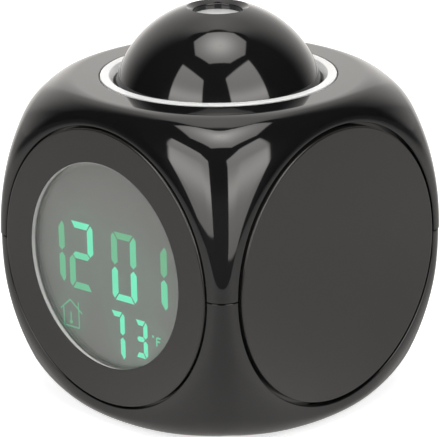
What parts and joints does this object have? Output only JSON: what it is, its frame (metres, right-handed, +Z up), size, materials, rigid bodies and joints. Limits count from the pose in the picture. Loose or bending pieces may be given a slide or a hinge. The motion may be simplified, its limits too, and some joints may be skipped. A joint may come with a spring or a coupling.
{
  "type": "projection alarm clock",
  "caption": "Desk alarm clock in a gloss-black rounded cube, with a round backlit display, round side panels and a press-down dome that projects the time",
  "frame": {"origin": "the point on the table under the middle of the housing, level with the soles of the feet", "axes": "+Z up; the display faces -Y; +X is the clock's right side as one faces the display"},
  "size_m": [0.0806, 0.0806, 0.0976],
  "materials": {
    "gloss_abs": "moulded gloss-black ABS",
    "inner_abs": "plain black moulding",
    "white_plastic": "moulded white ABS",
    "clear_acrylic": "clear moulded acrylic",
    "lcd_glass": "grey display glass",
    "soft_rubber": "moulded rubber",
    "steel": "zinc-plated steel",
    "circuit_board": "green solder mask on fibreglass",
    "black_resin": "cast epoxy",
    "led_epoxy": "clear epoxy",
    "cell_sleeve": "plain shrink sleeve over a steel can",
    "speaker_steel": "plated pressed steel",
    "speaker_paper": "coated paper cone"
  },
  "bodies": {
    "housing": {"upper_shell": "gloss_abs", "lower_shell": "gloss_abs", "housing_screws": "steel", "rubber_feet": "soft_rubber", "front_bezel": "gloss_abs", "display_liner": "white_plastic", "display_window": "clear_acrylic", "display_gasket": "soft_rubber", "lcd_glass": "lcd_glass", "display_frame": "white_plastic", "backlight_guide": "clear_acrylic", "backlight_leds": "led_epoxy", "contact_strip": "soft_rubber", "main_board": "circuit_board", "clock_chips": "black_resin", "thermistor": "black_resin", "board_screws": "steel", "right_side_panel": "gloss_abs", "left_side_panel": "gloss_abs", "rear_panel": "gloss_abs", "rear_switches": "inner_abs", "button_board": "circuit_board", "battery_tray": "inner_abs", "battery_cells": "cell_sleeve", "battery_springs": "steel", "battery_plates": "steel", "trim_ring": "white_plastic", "dome_carrier": "inner_abs", "carrier_screws": "steel", "dome_springs": "steel", "dome_switch": "inner_abs", "speaker_frame": "speaker_steel", "speaker_cone": "speaker_paper", "speaker_magnet": "speaker_steel"},
    "dome": {"dome": "gloss_abs", "lens_barrel": "inner_abs", "projection_lens": "clear_acrylic", "projector_slide": "lcd_glass", "projector_led": "led_epoxy", "projector_board": "circuit_board", "barrel_screws": "steel", "dome_plunger": "inner_abs"},
    "mode_button": {"mode_button": "gloss_abs", "mode_plunger": "inner_abs"},
    "set_button": {"set_button": "gloss_abs", "set_plunger": "inner_abs"},
    "down_button": {"down_button": "gloss_abs", "down_plunger": "inner_abs"},
    "up_button": {"up_button": "gloss_abs", "up_plunger": "inner_abs"},
    "battery_door": {"battery_door": "gloss_abs"}
  },
  "joints": [
    {"name": "dome_press", "type": "slide", "parent": "housing", "child": "dome", "axis": [0, 0, -1], "range_m": [0, 0.0015], "stiffness_N_per_m": 1500, "springref_m": -0.001, "deforming": ["dome_springs"]},
    {"name": "mode_press", "type": "slide", "parent": "housing", "child": "mode_button", "axis": [0, -1, 0], "range_m": [0, 0.0006], "stiffness_N_per_m": 1500, "springref_m": -0.0004},
    {"name": "set_press", "type": "slide", "parent": "housing", "child": "set_button", "axis": [0, -1, 0], "range_m": [0, 0.0006], "stiffness_N_per_m": 1500, "springref_m": -0.0004},
    {"name": "down_press", "type": "slide", "parent": "housing", "child": "down_button", "axis": [0, -1, 0], "range_m": [0, 0.0006], "stiffness_N_per_m": 1500, "springref_m": -0.0004},
    {"name": "up_press", "type": "slide", "parent": "housing", "child": "up_button", "axis": [0, -1, 0], "range_m": [0, 0.0006], "stiffness_N_per_m": 1500, "springref_m": -0.0004},
    {"name": "battery_door_hinge", "type": "hinge", "parent": "housing", "child": "battery_door", "pos_m": [0, 0.0386, 0.02045], "axis": [-1, 0, 0], "range_deg": [0, 95]}
  ]
}
